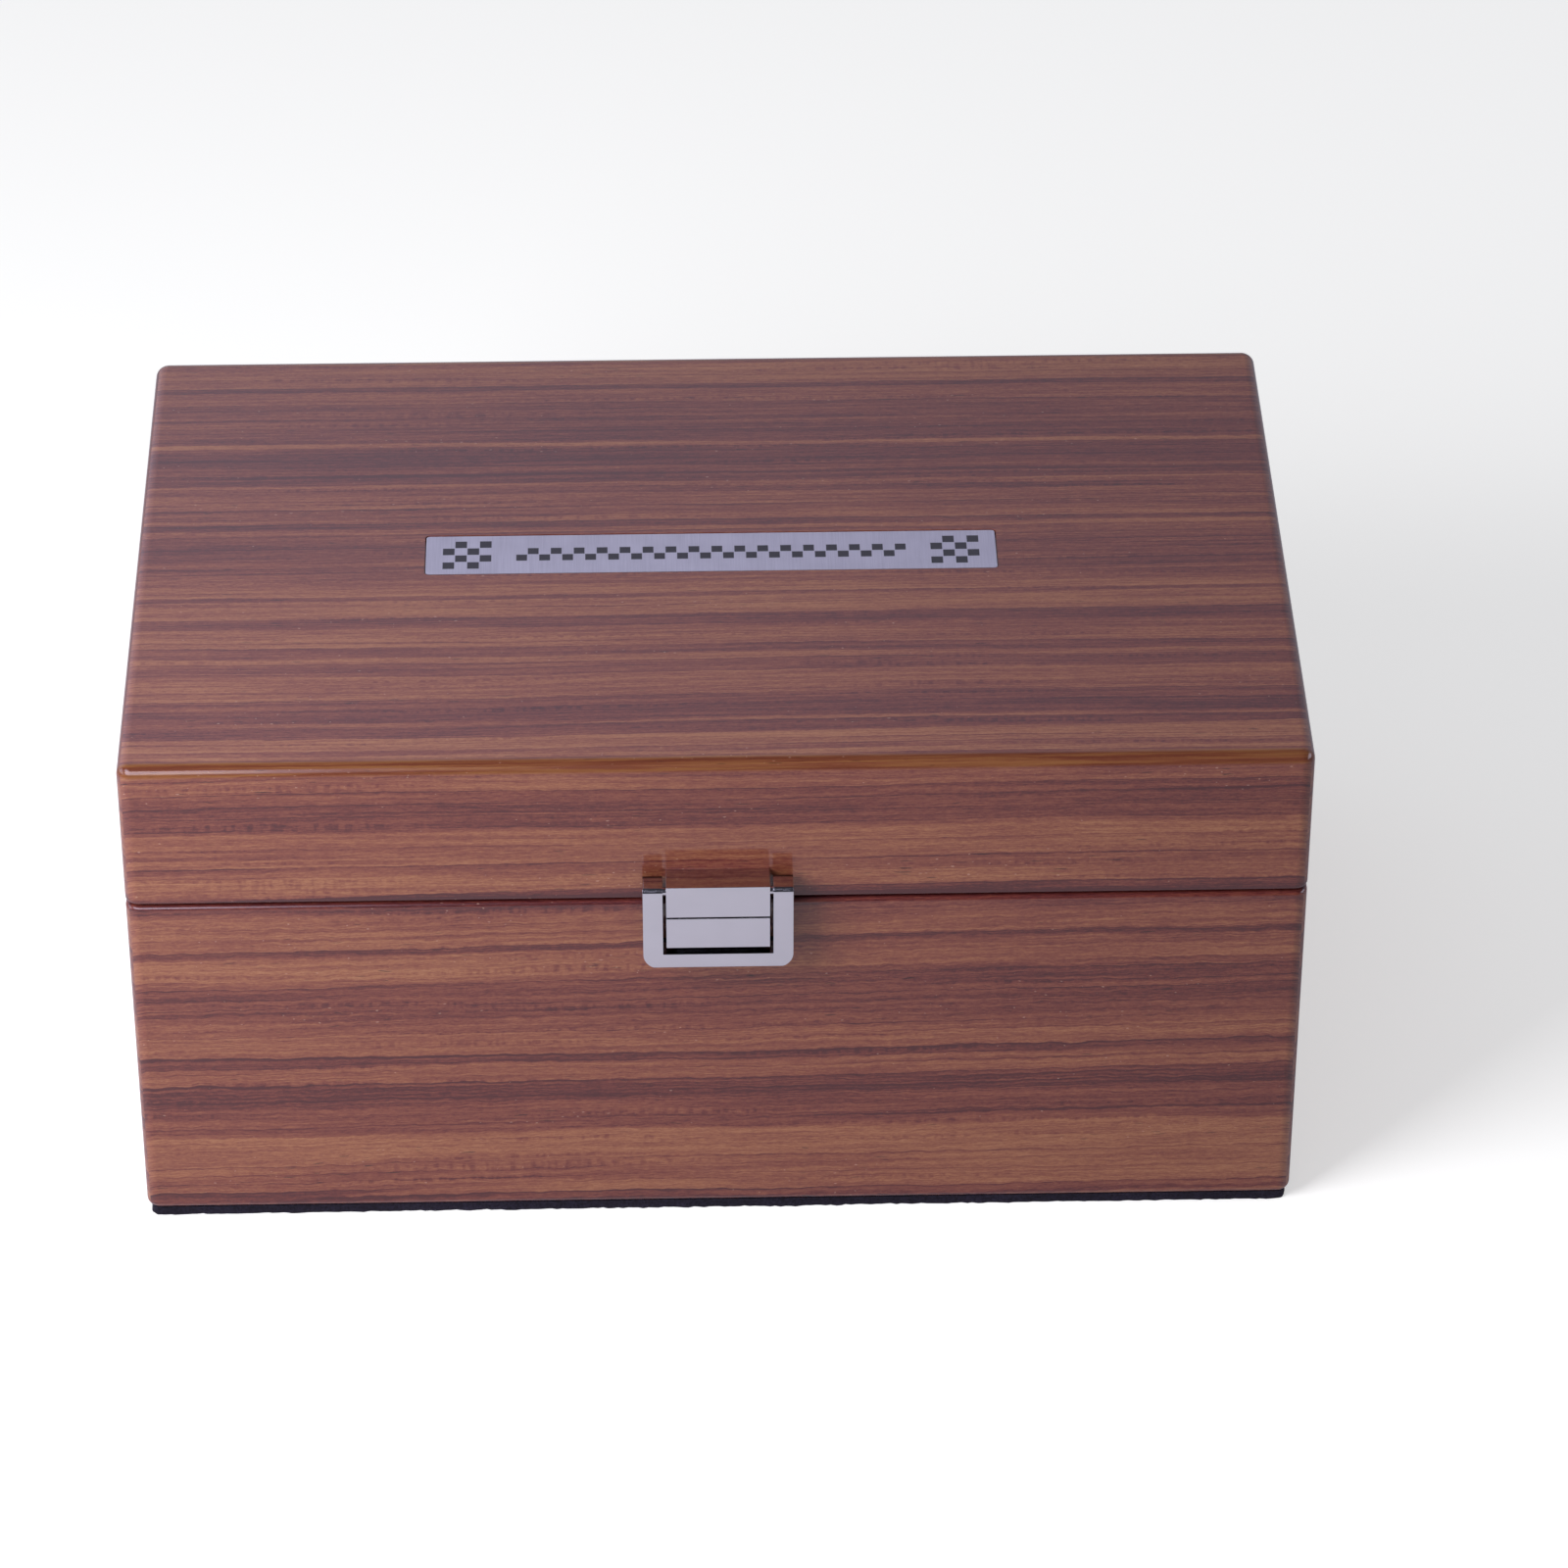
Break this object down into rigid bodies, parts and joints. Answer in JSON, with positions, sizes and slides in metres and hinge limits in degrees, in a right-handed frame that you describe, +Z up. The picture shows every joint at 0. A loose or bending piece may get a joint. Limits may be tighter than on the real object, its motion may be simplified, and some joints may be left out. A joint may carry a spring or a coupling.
{
  "type": "chess box with hinged lid",
  "caption": "Rectangular wooden box with rounded edges, a rear-hinged lid, an inlaid metal plaque, a front lever latch and a lined, divided inside.",
  "frame": {"origin": "centre of the underside of the felt, on the surface that the box stands on", "axes": "+X to the right along the box, +Y from the latch to the hinges, +Z up"},
  "size_m": [0.28, 0.1933, 0.135],
  "materials": {
    "veneered_wood": "straight-grained reddish brown veneer under a clear gloss coat",
    "divider_wood": "veneered board under a thin satin coat",
    "felt": "dense dark wool felt",
    "velvet": "short dark velvet pile",
    "plaque_metal": "brushed across its length",
    "enamel": "dark satin enamel fill",
    "latch_chrome": "polished chrome plate",
    "screw_steel": "zinc plated",
    "hinge_brass": "lacquered brass"
  },
  "bodies": {
    "base": {"base_front": "veneered_wood", "base_back": "veneered_wood", "base_left": "veneered_wood", "base_right": "veneered_wood", "base_bottom": "veneered_wood", "base_felt": "felt", "base_floor_lining": "velvet", "base_front_lining": "velvet", "base_back_lining": "velvet", "base_left_lining": "velvet", "base_right_lining": "velvet", "divider": "divider_wood", "latch_base_block": "latch_chrome", "latch_base_screws": "screw_steel", "hinge_left_base_leaf": "hinge_brass", "hinge_left_pin": "hinge_brass", "hinge_right_base_leaf": "hinge_brass", "hinge_right_pin": "hinge_brass", "hinge_base_screws": "hinge_brass"},
    "lid": {"lid_top": "veneered_wood", "lid_front": "veneered_wood", "lid_back": "veneered_wood", "lid_left": "veneered_wood", "lid_right": "veneered_wood", "lid_pad": "velvet", "lid_front_lining": "velvet", "lid_back_lining": "velvet", "lid_left_lining": "velvet", "lid_right_lining": "velvet", "plaque": "plaque_metal", "plaque_enamel": "enamel", "latch_lid_block": "latch_chrome", "latch_pivot_pins": "latch_chrome", "latch_lid_screws": "screw_steel", "hinge_left_lid_leaf": "hinge_brass", "hinge_right_lid_leaf": "hinge_brass", "hinge_lid_screws": "hinge_brass"},
    "latch_lever": {"latch_lever": "latch_chrome"}
  },
  "joints": [
    {"name": "lid_hinge", "type": "hinge", "parent": "base", "child": "lid", "pos_m": [0, 0.0915, 0.09525], "axis": [-1, 0, 0], "range_deg": [0, 95]},
    {"name": "latch_hinge", "type": "hinge", "parent": "lid", "child": "latch_lever", "pos_m": [0, -0.09275, 0.10065], "axis": [-1, 0, 0], "range_deg": [0, 100]}
  ]
}
